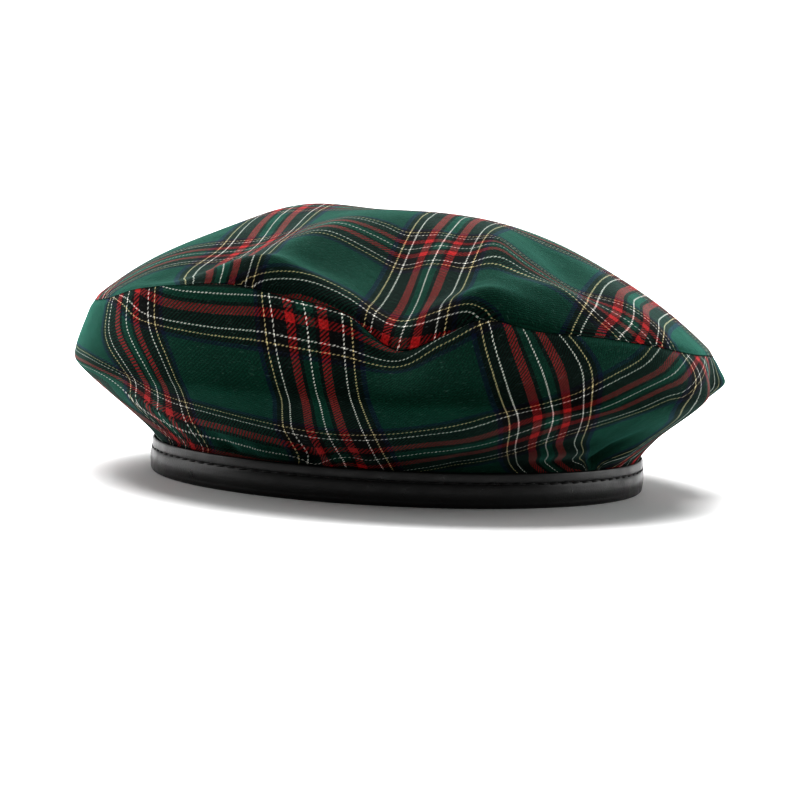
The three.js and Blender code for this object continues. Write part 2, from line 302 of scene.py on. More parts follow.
# Section of the headband, walked from its foot up the outside, down into the slot for the cloth
# and back down the inside. inwards: share of the band's thickness, up: share of its height.
BAND_OUTSIDE = table(
    "inwards up",
    (0.35, 0.0),
    (0.2, 0.01),
    (0.09, 0.035),
    (0.02, 0.08),
    (-0.005, 0.125),
    (-0.01, 0.165),
    (-0.015, 0.19),
    (-0.025, 0.22),
    (-0.04, 0.27),
    (-0.055, 0.34),
    (-0.06, 0.42),
    (-0.045, 0.51),
    (-0.015, 0.6),
    (0.03, 0.655),
    (0.075, 0.685),
    (0.085, 0.7),
    (0.075, 0.715),
    (0.05, 0.75),
    (0.04, 0.82),
    (0.05, 0.89),
    (0.07, 0.95),
    (0.11, 0.985),
    (0.18, 1.0),
)


def hex_to_linear(code):
    """An sRGB hex value as linear red, green and blue."""
    shares = [int(code[i : i + 2], 16) / 255 for i in (1, 3, 5)]
    return tuple(s / 12.92 if s <= 0.04045 else ((s + 0.055) / 1.055) ** 2.4 for s in shares)


def length(name, default, description):
    """A length in metres that a user may change."""
    return bpy.props.FloatProperty(
        name=name, description=description, default=default, min=0.0, unit="LENGTH", precision=5
    )


def colour(name, code, description):
    """A colour that a user may change."""
    return bpy.props.FloatVectorProperty(
        name=name,
        description=description,
        default=hex_to_linear(code),
        size=3,
        min=0.0,
        max=1.0,
        subtype="COLOR",
    )


def share(name, default, description, top=1.0):
    """A number without a unit that a user may change."""
    return bpy.props.FloatProperty(name=name, description=description, default=default, max=top)


class CrownSizes(bpy.types.PropertyGroup):
    """Sizes of the crown."""

    height: length("Crown height", 0.1082, "Height of the crown above the floor, before its folds")
    seam_radius: length("Seam radius", 0.12, "Radius that the seam's table is a share of")
    bulge_radius: length("Bulge radius", 0.13, "Radius that the bulge's table is a share of")
    fold_depth: length("Fold depth", 0.01, "Depth that the folds are a share of")
    softness: length("Softness", 0.01, "How far the cloth goes before it turns")
    cloth: length("Cloth", 0.0014, "Thickness of the faced cloth")
    gap: length("Gap", 0.0003, "Clearance across the seam and beside the leather")
    roll: length("Seam roll", 0.0008, "How deep the cloth turns in at the seam")
    roll_width: length("Seam roll width", 0.0022, "How far from the seam the cloth turns in")


class BandSizes(bpy.types.PropertyGroup):
    """Sizes of the headband and its stitches."""

    width: length("Band width", 0.199, "Outside width of the headband")
    depth: length("Band depth", 0.176, "Outside depth of the headband, front to back")
    height: length("Band height", BAND_HIGH.z - BAND_LOW.z, "Height of the headband")
    leather: length("Leather", 0.0012, "Thickness of the leather")
    fold: length("Fold", 0.0036, "Thickness of the folded foot of the band")
    stitch: length("Stitch", 0.0043, "Length of a stitch that shows")
    stitch_step: length("Stitch step", 0.0054, "From one stitch to the next")
    thread: length("Thread", 0.0008, "Thickness of the waxed sewing thread")
    slant: length("Slant", 0.0004, "How much higher a stitch ends than it starts")


class TartanLook(bpy.types.PropertyGroup):
    """The tartan's repeat, thread and colours."""

    across: length("Repeat across", 0.076, "Repeat of the stripes that run up the hat")
    along: length("Repeat along", 0.074, "Repeat of the stripes that run round the hat")
    # Drawn about twice as coarse as the real cloth, so that the twill's diagonal rib shows.
    thread: length("Thread", 0.00037, "Spacing of the threads in the twill")
    white: colour("White", "#d3d2ca", "Thin white lines")
    green: colour("Green", "#042b20", "Wide green fields")
    black: colour("Black", "#040505", "Black bands")
    red: colour("Red", "#8a1a1b", "Red bands")
    yellow: colour("Yellow", "#bcae84", "Thin yellow lines")
    navy: colour("Navy", "#081226", "Navy edge of the green fields")


class LeatherLook(bpy.types.PropertyGroup):
    """The leather's colour and grain."""

    dye: colour("Dye", "#030303", "Black dye")
    thread: colour("Thread", "#020202", "Sewing thread")
    grain: length("Grain", 0.0007, "Width of the leather's grain")
    gloss: share("Roughness", 0.34, "Roughness of the polished leather")


class StudioLook(bpy.types.PropertyGroup):
    """Camera and floor."""

    away: length("Camera distance", 0.9425, "From the camera to the middle of the hat, level")
    eye: length("Camera height", 0.119, "Height of the camera above the floor")
    aim: length("Aim height", 0.0316, "Height of the point that the camera looks at")
    focal: share("Focal length", 105.2, "Focal length in millimetres", 500)
    roll: share("Camera roll", 2.74, "Turn of the camera about its view, in degrees", 90)
    floor: colour("Floor", "#f4f4f4", "Pale floor")


def node(tree, kind, settings=None, inputs=None):
    """Adds one node with its settings; an input is a value or the output that feeds it."""
    made = tree.nodes.new(kind)
    for name, value in (settings or {}).items():
        setattr(made, name, value)
    for key, value in (inputs or {}).items():
        if isinstance(value, bpy.types.NodeSocket):
            tree.links.new(value, made.inputs[key])
        else:
            made.inputs[key].default_value = value
    return made


def new_material(name):
    """An empty node material, with its tree and its surface output."""
    material = bpy.data.materials.new(name)
    material.use_nodes = True
    tree = material.node_tree
    tree.nodes.clear()
    return material, tree, node(tree, "ShaderNodeOutputMaterial")


def rgba(values):
    return (*values, 1.0)


def stripe_colour(tree, place, repeat, look):
    """The colour of one set of threads: the distance to the nearest white line, as a share of
    half a repeat, picks a band of a ramp."""
    half = repeat / 2
    folded = node(tree, "ShaderNodeMath", {"operation": "PINGPONG"}, {0: place, 1: half})
    part = node(tree, "ShaderNodeMath", {"operation": "DIVIDE"}, {0: folded.outputs[0], 1: half})
    ramp = node(tree, "ShaderNodeValToRGB", None, {0: part.outputs[0]})
    ramp.color_ramp.interpolation = "CONSTANT"
    stops = ramp.color_ramp.elements
    while len(stops) < len(STRIPES):
        stops.new(0.5)
    for stop, (start, name) in zip(stops, STRIPES):
        stop.position = start
    for stop, (start, name) in zip(stops, STRIPES):
        stop.color = rgba(getattr(look, name))
    return ramp.outputs[0]


def brushed_tartan(look):
    """Brushed cotton tartan in 2/2 twill: soft and matt, with a diagonal rib and a light nap. The
    rib is a bump, with painted shade where the weft shows and a painted highlight where the warp
    shows.

    Warp and weft each have their stripes; where they cross, the twill shows one or the other
    thread by whether the thread numbers, taken from each other, leave 0 or 1 when divided by 4.
    """
    material, tree, output = new_material("brushed_cotton_tartan")
    cloth = node(tree, "ShaderNodeUVMap", {"uv_map": "cloth"}).outputs[0]
    stray = node(tree, "ShaderNodeTexNoise", None, {"Vector": cloth, "Scale": 900.0, "Detail": 2.0})
    nudge = node(
        tree,
        "ShaderNodeVectorMath",
        {"operation": "MULTIPLY_ADD"},
        {0: stray.outputs["Color"], 1: (0.0005,) * 3, 2: (-0.00025,) * 3},
    )
    place = node(
        tree, "ShaderNodeVectorMath", {"operation": "ADD"}, {0: cloth, 1: nudge.outputs[0]}
    )
    ways = node(tree, "ShaderNodeSeparateXYZ", None, {0: place.outputs[0]})
    warp = stripe_colour(tree, ways.outputs[0], look.across, look)
    weft = stripe_colour(tree, ways.outputs[1], look.along, look)

    def thread_number(way):
        count = node(tree, "ShaderNodeMath", {"operation": "DIVIDE"}, {0: way, 1: look.thread})
        whole = node(tree, "ShaderNodeMath", {"operation": "FLOOR"}, {0: count.outputs[0]})
        return whole.outputs[0]

    straight = node(tree, "ShaderNodeSeparateXYZ", None, {0: cloth})
    apart = node(
        tree,
        "ShaderNodeMath",
        {"operation": "SUBTRACT"},
        {0: thread_number(straight.outputs[0]), 1: thread_number(straight.outputs[1])},
    )
    beat = node(
        tree, "ShaderNodeMath", {"operation": "FLOORED_MODULO"}, {0: apart.outputs[0], 1: 4.0}
    )
    over = node(tree, "ShaderNodeMath", {"operation": "LESS_THAN"}, {0: beat.outputs[0], 1: 1.5})
    woven = node(
        tree,
        "ShaderNodeMix",
        {"data_type": "RGBA"},
        {0: over.outputs[0], 6: weft, 7: warp},
    )
    # Each thread lies between and under threads of the other set, so a light one among dark ones
    # looks darker: black bands come out nearly black, and red is bright only where it meets red.
    darker = node(
        tree,
        "ShaderNodeMix",
        {"data_type": "RGBA", "blend_type": "DARKEN"},
        {0: SHADED_BY_NEIGHBOURS, 6: woven.outputs[2], 7: weft},
    )
    woven = node(
        tree,
        "ShaderNodeMix",
        {"data_type": "RGBA", "blend_type": "DARKEN"},
        {0: SHADED_BY_NEIGHBOURS, 6: darker.outputs[2], 7: warp},
    )
    nap = node(
        tree,
        "ShaderNodeTexNoise",
        None,
        {"Vector": cloth, "Scale": 1300.0, "Detail": 3.0, "Roughness": 0.7},
    )
    cloudy = node(
        tree, "ShaderNodeTexNoise", None, {"Vector": cloth, "Scale": 55.0, "Detail": 4.0}
    )
    fine = node(
        tree, "ShaderNodeMapRange", None, {0: nap.outputs[0], 1: 0.3, 2: 0.7, 3: 0.42, 4: 1.58}
    )
    broad = node(
        tree, "ShaderNodeMapRange", None, {0: cloudy.outputs[0], 1: 0.3, 2: 0.7, 3: 0.88, 4: 1.12}
    )
    # Painted shade and highlight of the twill rib: where the weft shows the colour is darkened to
    # 0.84, where the warp shows it is lightened to 1.12.
    rib = node(tree, "ShaderNodeMapRange", None, {0: over.outputs[0], 3: 0.84, 4: 1.12})
    tone = node(
        tree,
        "ShaderNodeMath",
        {"operation": "MULTIPLY"},
        {0: fine.outputs[0], 1: broad.outputs[0]},
    )
    tone = node(
        tree, "ShaderNodeMath", {"operation": "MULTIPLY"}, {0: tone.outputs[0], 1: rib.outputs[0]}
    )
    # The woven colour times the random nap tone and the painted shade and highlight of the twill
    # rib.
    dyed = node(
        tree,
        "ShaderNodeVectorMath",
        {"operation": "SCALE"},
        {0: woven.outputs[2], "Scale": tone.outputs[0]},
    )
    drawn_out = node(
        tree,
        "ShaderNodeMapping",
        None,
        {0: cloth, "Rotation": (0, 0, 0.9), "Scale": (0.22, 1.0, 1.0)},
    )
    fibres = node(
        tree,
        "ShaderNodeTexNoise",
        None,
        {"Vector": drawn_out.outputs[0], "Scale": 2200.0, "Detail": 1.0, "Distortion": 0.8},
    )
    loose = node(
        tree, "ShaderNodeMapRange", None, {0: fibres.outputs[0], 1: 0.62, 2: 0.78, 3: 0.0, 4: 0.06}
    )
    brushed = node(
        tree,
        "ShaderNodeMix",
        {"data_type": "RGBA"},
        {0: loose.outputs[0], 6: dyed.outputs[0], 7: (0.55, 0.72, 0.66, 1.0)},
    )
    tint = node(tree, "ShaderNodeGamma", None, {0: woven.outputs[2], 1: 0.42})
    heights = node(
        tree,
        "ShaderNodeMath",
        {"operation": "MULTIPLY_ADD"},
        {0: nap.outputs[0], 1: 1.6, 2: over.outputs[0]},
    )
    slack = node(
        tree,
        "ShaderNodeBump",
        None,
        {"Strength": 0.7, "Distance": 0.0012, "Height": cloudy.outputs[0]},
    )
    bump = node(
        tree,
        "ShaderNodeBump",
        None,
        {
            "Strength": 0.6,
            "Distance": 0.00015,
            "Height": heights.outputs[0],
            "Normal": slack.outputs[0],
        },
    )
    surface = node(
        tree,
        "ShaderNodeBsdfPrincipled",
        None,
        {
            "Base Color": brushed.outputs[2],
            "Roughness": 0.9,
            "Specular IOR Level": 0.08,
            "Sheen Weight": 1.0,
            "Sheen Roughness": 0.38,
            "Sheen Tint": tint.outputs[0],
            "Normal": bump.outputs[0],
        },
    )
    tree.links.new(surface.outputs[0], output.inputs[0])
    return material


def polished_leather(look):
    """Smooth cowhide, dyed black and polished: a soft gloss over fine grain and faint creases."""
    material, tree, output = new_material("polished_black_leather")
    place = node(tree, "ShaderNodeTexCoord").outputs["Object"]
    grain = node(
        tree, "ShaderNodeTexVoronoi", None, {"Vector": place, "Scale": 1.0 / look.grain}
    )
    crease = node(
        tree, "ShaderNodeTexNoise", None, {"Vector": place, "Scale": 160.0, "Detail": 6.0}
    )
    both = node(
        tree,
        "ShaderNodeMath",
        {"operation": "MULTIPLY_ADD"},
        {0: crease.outputs[0], 1: 2.0, 2: grain.outputs["Distance"]},
    )
    bump = node(
        tree,
        "ShaderNodeBump",
        None,
        {"Strength": 0.35, "Distance": 0.0001, "Height": both.outputs[0]},
    )
    worn = node(
        tree,
        "ShaderNodeMapRange",
        None,
        {0: crease.outputs[0], 1: 0.3, 2: 0.7, 3: look.gloss - 0.08, 4: look.gloss + 0.1},
    )
    surface = node(
        tree,
        "ShaderNodeBsdfPrincipled",
        None,
        {
            "Base Color": rgba(look.dye),
            "Roughness": worn.outputs[0],
            "IOR": 1.5,
            "Specular IOR Level": 0.5,
            "Normal": bump.outputs[0],
        },
    )
    tree.links.new(surface.outputs[0], output.inputs[0])
    return material


def waxed_thread(look):
    """Waxed black polyester thread: nearly matt, with a twist too fine to show beyond its rib."""
    material, tree, output = new_material("waxed_polyester_thread")
    place = node(tree, "ShaderNodeTexCoord").outputs["Object"]
    twist = node(tree, "ShaderNodeTexNoise", None, {"Vector": place, "Scale": 3000.0})
    bump = node(
        tree,
        "ShaderNodeBump",
        None,
        {"Strength": 0.3, "Distance": 0.00005, "Height": twist.outputs[0]},
    )
    surface = node(
        tree,
        "ShaderNodeBsdfPrincipled",
        None,
        {"Base Color": rgba(look.thread), "Roughness": 0.6, "Normal": bump.outputs[0]},
    )
    tree.links.new(surface.outputs[0], output.inputs[0])
    return material


def studio_paper(look):
    """Matt white background paper: even, with no shine."""
    material, tree, output = new_material("matt_background_paper")
    place = node(tree, "ShaderNodeTexCoord").outputs["Object"]
    fibre = node(tree, "ShaderNodeTexNoise", None, {"Vector": place, "Scale": 400.0})
    bump = node(
        tree,
        "ShaderNodeBump",
        None,
        {"Strength": 0.05, "Distance": 0.0001, "Height": fibre.outputs[0]},
    )
    surface = node(
        tree,
        "ShaderNodeBsdfPrincipled",
        None,
        {
            "Base Color": rgba(look.floor),
            "Roughness": 0.9,
            "Specular IOR Level": 0.1,
            "Normal": bump.outputs[0],
        },
    )
    tree.links.new(surface.outputs[0], output.inputs[0])
    return material


def curve(at, values, x):
    """A smooth curve through the values at each place: cubic pieces whose slopes at each place are
    those between its two neighbours. Every value may be a whole array of its own."""
    slope = np.empty(values.shape)
    apart = (at[2:] - at[:-2]).reshape(-1, *[1] * (values.ndim - 1))
    slope[1:-1] = (values[2:] - values[:-2]) / apart
    slope[0] = (values[1] - values[0]) / (at[1] - at[0])
    slope[-1] = (values[-1] - values[-2]) / (at[-1] - at[-2])
    i = np.clip(np.searchsorted(at, x, side="right") - 1, 0, len(at) - 2)
    width = at[i + 1] - at[i]
    t = (x - at[i]) / width

    def pick(rows, k):
        return rows[k] if rows.ndim == 1 else np.take_along_axis(rows, k[None], 0)[0]

    return (
        (2 * t**3 - 3 * t**2 + 1) * pick(values, i)
        + (t**3 - 2 * t**2 + t) * width * pick(slope, i)
        + (3 * t**2 - 2 * t**3) * pick(values, i + 1)
        + (t**3 - t**2) * width * pick(slope, i + 1)
    )


def around(columns, name, degrees, turn=360.0):
    """A smooth curve round the hat through one column of a table, closed after one turn."""
    at, values = columns["at"], columns[name]
    if turn:
        at = np.concatenate([at - turn, at, at + turn])
        values = np.tile(values, 3)
        degrees = np.mod(degrees, turn)
    return curve(at, values, degrees)


def polar(degrees, out, height):
    """Points at a direction, a distance out from the middle and a height."""
    angle = np.radians(degrees)
    height = np.broadcast_to(height, np.broadcast(angle, out).shape)
    return np.stack([out * np.cos(angle), out * np.sin(angle), height], -1)


def unit(vectors):
    return vectors / np.maximum(np.linalg.norm(vectors, axis=-1, keepdims=True), 1e-12)


def dot(a, b):
    return np.sum(a * b, -1, keepdims=True)


def bezier(a, b, c, d, t):
    """A cubic curve from a to d, pulled towards b and then c."""
    t = t[..., None]
    return (1 - t) ** 3 * a + 3 * (1 - t) ** 2 * t * b + 3 * (1 - t) * t**2 * c + t**3 * d


def clamp(value):
    return np.clip(value, 0, 1)


def oval(band, degrees, inwards, height):
    """Points on the ellipse of the headband, moved a distance in along its own normal."""
    a, b = band.width / 2, band.depth / 2
    angle = np.radians(degrees)
    cos, sin = np.cos(angle), np.sin(angle)
    radius = a * b / np.hypot(b * cos, a * sin)
    flat = np.stack([radius * cos, radius * sin], -1)
    normal = unit(np.stack([radius * cos / a**2, radius * sin / b**2], -1))
    flat = flat - normal * np.asarray(inwards)[..., None]
    height = np.broadcast_to(height, flat.shape[:-1])
    return np.concatenate([flat, height[..., None]], -1)


def side_surface(crown, band, degrees, up):
    """The outer face of the side panel, for directions and shares of the way from hem to seam.

    Straight up in the headband, then a curve that leaves it upright and meets the bulge in the
    direction the cloth leans there, then a curve from the bulge to the seam. Bell-shaped folds
    push it out or in, and fade at both edges.
    """
    degrees, up = np.broadcast_arrays(np.asarray(degrees, float), np.asarray(up, float))
    hem = oval(band, degrees, band.leather + crown.gap, band.fold + 2 * crown.gap)
    mouth = hem.copy()
    mouth[..., 2] = band.height - 0.0002
    seam = polar(
        degrees,
        crown.seam_radius * around(SEAM, "out", degrees),
        crown.height * around(SEAM, "up", degrees),
    )
    bulge = polar(
        degrees,
        crown.bulge_radius * around(BULGE, "out", degrees),
        crown.height * around(BULGE, "up", degrees),
    )
    lean = np.radians(around(BULGE, "lean", degrees))
    turn_over = polar(degrees, np.cos(lean), np.sin(lean))
    crease = (crown.softness * around(BULGE, "crease", degrees))[..., None]
    upright = mouth.copy()
    upright[..., 2] += crown.softness * around(BULGE, "rise", degrees)
    low = clamp((up - MOUTH_SHARE) / (BULGE_SHARE - MOUTH_SHARE))
    high = clamp((up - BULGE_SHARE) / (1 - BULGE_SHARE))
    below = bezier(mouth, upright, bulge - turn_over * crease, bulge, low)
    above = bezier(
        bulge, bulge + 0.9 * turn_over * crease, seam + 0.33 * (bulge - seam), seam, high
    )
    inside = hem + (mouth - hem) * clamp(up / MOUTH_SHARE)[..., None]
    points = np.where((up <= BULGE_SHARE)[..., None], below, above)
    points = np.where((up <= MOUTH_SHARE)[..., None], inside, points)
    away = np.mod(degrees[..., None] - SIDE_FOLDS["at"] + 180, 360) - 180
    bell = np.exp(
        -((away / SIDE_FOLDS["width"]) ** 2)
        - ((up[..., None] - SIDE_FOLDS["up"]) / SIDE_FOLDS["spread"]) ** 2
    )
    hold = clamp((up - MOUTH_SHARE) / SIDE_FADE) * clamp((1 - up) / SIDE_FADE)
    hold = hold**2 * (3 - 2 * hold)
    out = crown.fold_depth * np.sum(SIDE_FOLDS["out"] * bell, -1) * hold
    return points + polar(degrees, out, 0 * out)


def top_surface(crown, degrees, out):
    """The outer face of the top panel, for directions and shares of the way out to the seam.

    A dome whose height falls with a power of the share, with bell-shaped ridges and hollows that
    fade at the seam.
    """
    degrees, out = np.broadcast_arrays(np.asarray(degrees, float), np.asarray(out, float))
    seam_up = crown.height * around(SEAM, "up", degrees)
    power = around(FULLNESS, "power", degrees)
    rise = (crown.height - seam_up) * (1 - out**power)
    points = polar(degrees, crown.seam_radius * around(SEAM, "out", degrees) * out, seam_up + rise)
    lift = np.sum(TOP_FOLDS["lift"] * bells(crown, points, TOP_FOLDS), -1)
    free = clamp((1 - out) / TOP_FADE)
    points[..., 2] += crown.fold_depth * lift * free * (2 - free)
    return points


def bells(crown, points, rows):
    """The height of each row's long bell at each point, from 0 to 1."""
    x = points[..., 0, None] / crown.seam_radius - rows["right"]
    y = points[..., 1, None] / crown.seam_radius - rows["back"]
    cos, sin = np.cos(np.radians(rows["turn"])), np.sin(np.radians(rows["turn"]))
    along = (x * cos + y * sin) / rows["long"]
    across = (y * cos - x * sin) / rows["wide"]
    return np.exp(-(along**2) - across**2)


def side_facing(crown, band, degrees, up, reach=0.004):
    """The outward direction of the side panel, from the points beside it."""
    here = side_surface(crown, band, degrees + 0.2, up)
    here = here - side_surface(crown, band, degrees - 0.2, up)
    there = side_surface(crown, band, degrees, np.minimum(up + reach, 1.0)) - side_surface(
        crown, band, degrees, np.maximum(up - reach, 0.0)
    )
    return unit(np.cross(here, there))


def top_facing(crown, degrees, out, reach=0.004):
    """The outward direction of the top panel, from the points beside it."""
    here = top_surface(crown, degrees + 0.2, out) - top_surface(crown, degrees - 0.2, out)
    there = top_surface(crown, degrees, np.maximum(out - reach, 0.0005)) - top_surface(
        crown, degrees, np.minimum(out + reach, 1.0)
    )
    return unit(np.cross(here, there))


def seam_edge(crown, band, degrees, sign):
    """The outer and inner corner of a panel at the seam: half a gap back along the mitre, rolled
    in by the depth of the seam, then through the cloth along the line that both panels share."""
    seam = side_surface(crown, band, degrees, 1.0)
    up = unit(seam - side_surface(crown, band, degrees, 0.94))
    over = unit(top_surface(crown, degrees, 0.97) - seam)
    turn = unit(top_surface(crown, degrees + 0.4, 1.0) - top_surface(crown, degrees - 0.4, 1.0))
    across = up + over
    across = unit(across - turn * dot(across, turn))
    outward = np.cross(turn, across)
    slant = dot(outward, side_facing(crown, band, degrees, np.full(degrees.shape, 1.0), 0.06))
    outer = seam + across * sign * crown.gap / 2
    return outer - outward * crown.roll, outer - outward * crown.cloth / slant, outward


def rolled(crown, points, facing, distance):
    """Turns a panel's edge in towards the seam, by a bell of the distance from it."""
    depth = crown.roll * np.exp(-((distance / crown.roll_width) ** 2))
    return points - facing * depth[..., None]


def thread_grid(crown):
    """The top panel laid out flat along its threads.

    On a square grid turned with the grain, the distance along each thread is the running sum of
    the slanted steps over the dome.
    """
    reach, count = 1.12 * crown.seam_radius, 301
    line = np.linspace(-reach, reach, count)
    across, along = np.meshgrid(line, line, indexing="ij")
    cos, sin = math.cos(GRAIN), math.sin(GRAIN)
    x, y = across * cos + along * sin, along * cos - across * sin
    degrees = np.degrees(np.arctan2(y, x))
    out = np.hypot(x, y) / (crown.seam_radius * around(SEAM, "out", degrees))
    height = top_surface(crown, degrees, np.minimum(out, 1.0))[..., 2]
    step = line[1] - line[0]
    laid = []
    for axis in (0, 1):
        slanted = np.hypot(step, np.diff(height, axis=axis))
        run = np.cumsum(slanted, axis=axis)
        run = np.concatenate([np.zeros_like(run.take([0], axis)), run], axis)
        laid.append(run - run.take([count // 2], axis))
    return line, laid


def top_cloth(crown, points):
    """Where each point of the top panel was in the flat cloth, between four points of the grid."""
    line, laid = thread_grid(crown)
    cos, sin = math.cos(GRAIN), math.sin(GRAIN)
    across = points[..., 0] * cos - points[..., 1] * sin
    along = points[..., 0] * sin + points[..., 1] * cos
    step = line[1] - line[0]
    i = np.clip(np.floor((across - line[0]) / step).astype(int), 0, len(line) - 2)
    j = np.clip(np.floor((along - line[0]) / step).astype(int), 0, len(line) - 2)
    a, b = (across - line[i]) / step, (along - line[j]) / step
    flat = [
        m[i, j] * (1 - a) * (1 - b)
        + m[i + 1, j] * a * (1 - b)
        + m[i, j + 1] * (1 - a) * b
        + m[i + 1, j + 1] * a * b
        for m in laid
    ]
    slip = bells(crown, points, TOP_SLIPS)
    across = np.sum(slip * TOP_SLIPS["across"], -1) * MM
    along = np.sum(slip * TOP_SLIPS["along"], -1) * MM
    return np.stack([flat[0] + across - TOP_WHITE_ACROSS, flat[1] + along - TOP_WHITE_ALONG], -1)


def side_cloth(degrees, up):
    """Where each point of the side panel was in the flat cloth: round the hat through the rows of
    the cut, and up the hat through its five places."""
    degrees = 180 + np.mod(degrees - 180, 360)
    places = np.array(list(CUT_PLACES.values()))
    flat = []
    for cut in (CUT_ACROSS, CUT_ALONG):
        columns = np.stack([around(cut, name, degrees, turn=0) for name in CUT_PLACES])
        flat.append(curve(places, columns, up) * MM)
    return np.stack(flat, -1)


def directions(count):
    """Directions of the steps round the hat, closer together at the front where the folds are."""
    turn = 2 * np.pi * np.arange(count) / count
    return 270 + np.degrees(turn - FRONT_CROWDING * np.sin(turn))


def add_smooth(mesh):
    """Puts a mesh into the scene, shaded smooth, as an object of its own name."""
    mesh.shade_smooth()
    mesh.update()
    made = bpy.data.objects.new(mesh.name, mesh)
    bpy.context.scene.collection.objects.link(made)
    return made


def closed_solid(name, rings, cloth=None):
    """A closed mesh from rings of points, each joined to the next and the last to the first, or
    capped by single points. Its faces are turned outwards by the sign of its volume."""
    single = [len(ring) == 1 for ring in rings]
    starts = np.cumsum([0] + [len(ring) for ring in rings])
    points = np.concatenate(rings) + MIDDLE
    links = len(rings) - 1 if single[0] else len(rings)
    quads, fans = [], []
    for link in range(links):
        after = (link + 1) % len(rings)
        count = max(len(rings[link]), len(rings[after]))
        step = np.arange(count)
        turn = (step + 1) % count
        a = starts[link] + (0 * step if single[link] else step)
        b = starts[link] + (0 * step if single[link] else turn)
        c = starts[after] + (0 * step if single[after] else turn)
        d = starts[after] + (0 * step if single[after] else step)
        if single[link]:
            fans.append(np.stack([a, c, d], -1))
        elif single[after]:
            fans.append(np.stack([a, b, c], -1))
        else:
            quads.append(np.stack([a, b, c, d], -1))
    faces = np.concatenate(quads)
    caps = np.concatenate(fans) if fans else np.zeros((0, 3), int)
    corners = np.concatenate([faces[:, [0, 1, 2]], faces[:, [0, 2, 3]], caps])
    p, q, r = (points[corners[:, k]] for k in range(3))
    if np.sum(p * np.cross(q, r)) < 0:
        faces, caps = faces[:, ::-1], caps[:, ::-1]
    mesh = bpy.data.meshes.new(name)
    mesh.from_pydata(points.tolist(), [], faces.tolist() + caps.tolist())
    if cloth is not None:
        layer = mesh.uv_layers.new(name="cloth")
        order = np.concatenate([faces.ravel(), caps.ravel()])
        layer.data.foreach_set("uv", np.concatenate(cloth)[order].ravel())
    return add_smooth(mesh)


def dress(piece, material, slot, *nodes):
    """Gives a piece its material, its place in the part and the solids that it stands for."""
    piece.data.materials.append(material)
    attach(piece, "root")
    if nodes:
        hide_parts(*nodes)


def shared_material(name, make, look):
    """One material for all the pieces that are made of it."""
    return bpy.data.materials.get(name) or make(look)


class HAT_OT_side_panel(bpy.types.Operator):
    """Adds the side panel of the crown, from its hem in the headband to the seam."""

    bl_idname = "hat.side_panel"
    bl_label = "Side panel"

    def execute(self, context):
        crown, band = context.scene.hat_crown, context.scene.hat_band
        around_hat = directions(SIDE_STEPS)
        rows = np.concatenate([np.linspace(0, 0.96, 84), SEAM_ROWS])
        degrees, up = np.meshgrid(around_hat, rows)
        points = side_surface(crown, band, degrees, up)
        seam = side_surface(crown, band, around_hat, 1.0)
        outer_edge, inner_edge, outward = seam_edge(crown, band, around_hat, -1)
        points = rolled(crown, points, outward, np.linalg.norm(points - seam, axis=-1))
        inner_rows = np.linspace(0, 0.93, 34)
        inner_degrees, inner_up = np.meshgrid(around_hat, inner_rows)
        inner = side_surface(crown, band, inner_degrees, inner_up)
        inner = inner - side_facing(crown, band, inner_degrees, inner_up, 0.01) * crown.cloth
        edge_cloth = side_cloth(around_hat, np.ones(len(around_hat)))
        rings = [*points, outer_edge, inner_edge, *inner[::-1]]
        cloth = [
            *side_cloth(degrees, up),
            edge_cloth,
            edge_cloth,
            *side_cloth(inner_degrees, inner_up)[::-1],
        ]
        panel = closed_solid("crown_side_cloth", rings, cloth)
        look = shared_material("brushed_cotton_tartan", brushed_tartan, context.scene.hat_tartan)
        dress(panel, look, "tartan_side", "crown_side")
        return {"FINISHED"}


class HAT_OT_top_panel(bpy.types.Operator):
    """Adds the round top panel of the crown."""

    bl_idname = "hat.top_panel"
    bl_label = "Top panel"

    def execute(self, context):
        crown, band = context.scene.hat_crown, context.scene.hat_band
        around_hat = directions(TOP_STEPS)
        rows = np.concatenate([SEAM_ROWS[::-1], np.linspace(0.96, 0.012, 96)])
        degrees, out = np.meshgrid(around_hat, rows)
        points = top_surface(crown, degrees, out)
        seam = side_surface(crown, band, around_hat, 1.0)
        outer_edge, inner_edge, outward = seam_edge(crown, band, around_hat, 1)
        points = rolled(crown, points, outward, np.linalg.norm(points - seam, axis=-1))
        inner_rows = np.linspace(0.94, 0.03, 40)
        inner_degrees, inner_out = np.meshgrid(around_hat, inner_rows)
        outer_again = top_surface(crown, inner_degrees, inner_out)
        inner = outer_again - top_facing(crown, inner_degrees, inner_out, 0.01) * crown.cloth
        pole = top_surface(crown, np.array([270.0]), np.array([0.0]))
        under_pole = pole - np.array([0.0, 0.0, crown.cloth])
        rings = [pole, *points[::-1], outer_edge, inner_edge, *inner, under_pole]
        edge = top_surface(crown, around_hat, 1.0)
        outer_rings = (pole, *points[::-1], edge, edge, *outer_again, pole)
        cloth = [top_cloth(crown, ring) for ring in outer_rings]
        panel = closed_solid("crown_top_cloth", rings, cloth)
        look = shared_material("brushed_cotton_tartan", brushed_tartan, context.scene.hat_tartan)
        dress(panel, look, "tartan_top", "crown_top")
        return {"FINISHED"}


